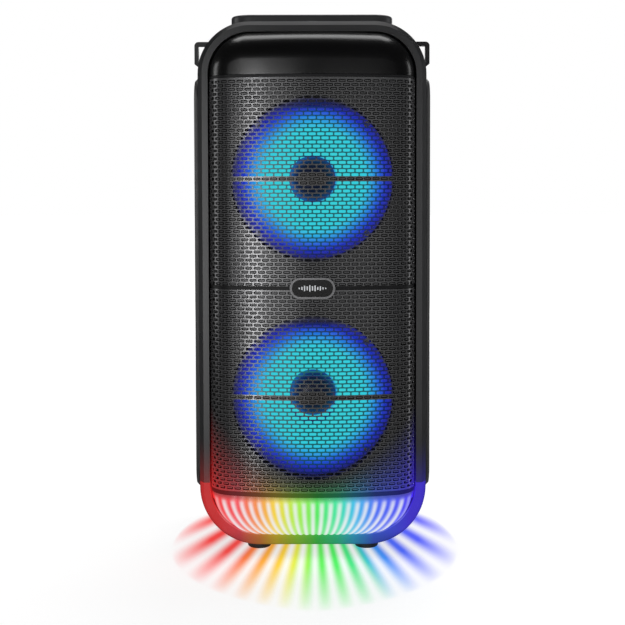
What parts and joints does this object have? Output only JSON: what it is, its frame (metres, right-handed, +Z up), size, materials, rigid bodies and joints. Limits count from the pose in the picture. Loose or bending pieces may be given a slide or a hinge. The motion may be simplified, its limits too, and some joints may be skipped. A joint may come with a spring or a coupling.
{
  "type": "party speaker",
  "caption": "Upright party speaker with stacked drivers behind a slotted grille, a lit lens base, a top carry handle, strap loops and a rear socket panel.",
  "frame": {"origin": "on the floor under the middle of the bounding box", "axes": "+Z up, the front faces -Y, +X to the viewer's right"},
  "size_m": [0.257, 0.233, 0.586],
  "materials": {
    "cabinet_shell": "fine texture",
    "baffle": "matte",
    "frame": "satin",
    "lower_frame": "satin, lit from inside",
    "visor": "piano gloss",
    "trim": "gloss",
    "badge_rim": "satin",
    "badge_face": "gloss",
    "lens": "fluted, translucent",
    "reflector": "white gloss",
    "circuit_board": "solder mask",
    "led": "gloss",
    "handle": "satin",
    "tray": "matte",
    "control_dish": "gloss",
    "knob": "satin, knurled",
    "socket_plate": "matte",
    "socket": "gloss",
    "socket_metal": "plated",
    "rocker": "gloss",
    "battery": "shrink film",
    "feet": "matte",
    "screws": "black zinc",
    "rail": "satin",
    "loop": "satin",
    "grille": "metallic satin",
    "carrier": "satin",
    "basket": "black powder coat",
    "magnet": "ferrite and zinc plate",
    "surround": "matte",
    "light_ring": "translucent",
    "cone": "pressed fibre, lit blue",
    "cap": "satin",
    "port": "satin",
    "button": "gloss"
  },
  "bodies": {
    "cabinet": {"amplifier_board": "circuit_board", "aux_jack": "socket", "badge_bezel": "badge_rim", "badge_plate": "badge_face", "baffle_screws": "screws", "bass_port_lower": "port", "bass_port_upper": "port", "battery_pack": "battery", "charging_socket": "socket", "control_board": "circuit_board", "control_panel": "control_dish", "driver_lower_basket": "basket", "driver_lower_light_ring": "light_ring", "driver_lower_magnet": "magnet", "driver_lower_surround": "surround", "driver_screws": "screws", "driver_upper_basket": "basket", "driver_upper_light_ring": "light_ring", "driver_upper_magnet": "magnet", "driver_upper_surround": "surround", "feet": "feet", "front_baffle": "baffle", "front_frame": "frame", "grille_carrier_lower": "carrier", "grille_carrier_upper": "carrier", "grille_mesh_lower": "grille", "grille_mesh_upper": "grille", "handle_grip": "handle", "handle_tray": "tray", "light_board": "circuit_board", "light_leds": "led", "light_lens": "lens", "light_reflector": "reflector", "lower_frame": "lower_frame", "mic_jack": "socket", "rail_screws": "screws", "rear_cabinet": "cabinet_shell", "rear_panel": "socket_plate", "rear_screws": "screws", "side_rail_left": "rail", "side_rail_right": "rail", "strap_loop_left": "loop", "strap_loop_right": "loop", "top_visor": "visor", "trim_strip_bottom": "trim", "trim_strip_middle": "trim", "trim_strip_top": "trim", "usb_socket": "socket_metal"},
    "volume_knob": {"volume_knob": "knob"},
    "power_rocker": {"power_rocker": "rocker"},
    "upper_cone": {"driver_upper_cone": "cone", "driver_upper_cap": "cap"},
    "lower_cone": {"driver_lower_cone": "cone", "driver_lower_cap": "cap"},
    "power_button": {"button_power": "button"},
    "mode_button": {"button_mode": "button"},
    "previous_button": {"button_previous": "button"},
    "play_button": {"button_play": "button"},
    "next_button": {"button_next": "button"},
    "light_button": {"button_light": "button"}
  },
  "joints": [
    {"name": "volume_knob_turn", "type": "hinge", "parent": "cabinet", "child": "volume_knob", "pos_m": [0, -0.0375, 0.5645], "axis": [0, 0, 1], "continuous": true},
    {"name": "power_rocker_tip", "type": "hinge", "parent": "cabinet", "child": "power_rocker", "pos_m": [0.046, 0.1055, 0.465], "axis": [1, 0, 0], "range_deg": [-14, 0]},
    {"name": "upper_cone_travel", "type": "slide", "parent": "cabinet", "child": "upper_cone", "axis": [0, -1, 0], "range_m": [-0.003, 0.003], "stiffness_N_per_m": 2500, "deforming": ["driver_upper_surround"]},
    {"name": "lower_cone_travel", "type": "slide", "parent": "cabinet", "child": "lower_cone", "axis": [0, -1, 0], "range_m": [-0.003, 0.003], "stiffness_N_per_m": 2500, "deforming": ["driver_lower_surround"]},
    {"name": "power_button_press", "type": "slide", "parent": "cabinet", "child": "power_button", "axis": [0, 0, -1], "range_m": [0, 0.001], "stiffness_N_per_m": 1200},
    {"name": "mode_button_press", "type": "slide", "parent": "cabinet", "child": "mode_button", "axis": [0, 0, -1], "range_m": [0, 0.001], "stiffness_N_per_m": 1200},
    {"name": "previous_button_press", "type": "slide", "parent": "cabinet", "child": "previous_button", "axis": [0, 0, -1], "range_m": [0, 0.001], "stiffness_N_per_m": 1200},
    {"name": "play_button_press", "type": "slide", "parent": "cabinet", "child": "play_button", "axis": [0, 0, -1], "range_m": [0, 0.001], "stiffness_N_per_m": 1200},
    {"name": "next_button_press", "type": "slide", "parent": "cabinet", "child": "next_button", "axis": [0, 0, -1], "range_m": [0, 0.001], "stiffness_N_per_m": 1200},
    {"name": "light_button_press", "type": "slide", "parent": "cabinet", "child": "light_button", "axis": [0, 0, -1], "range_m": [0, 0.001], "stiffness_N_per_m": 1200}
  ]
}
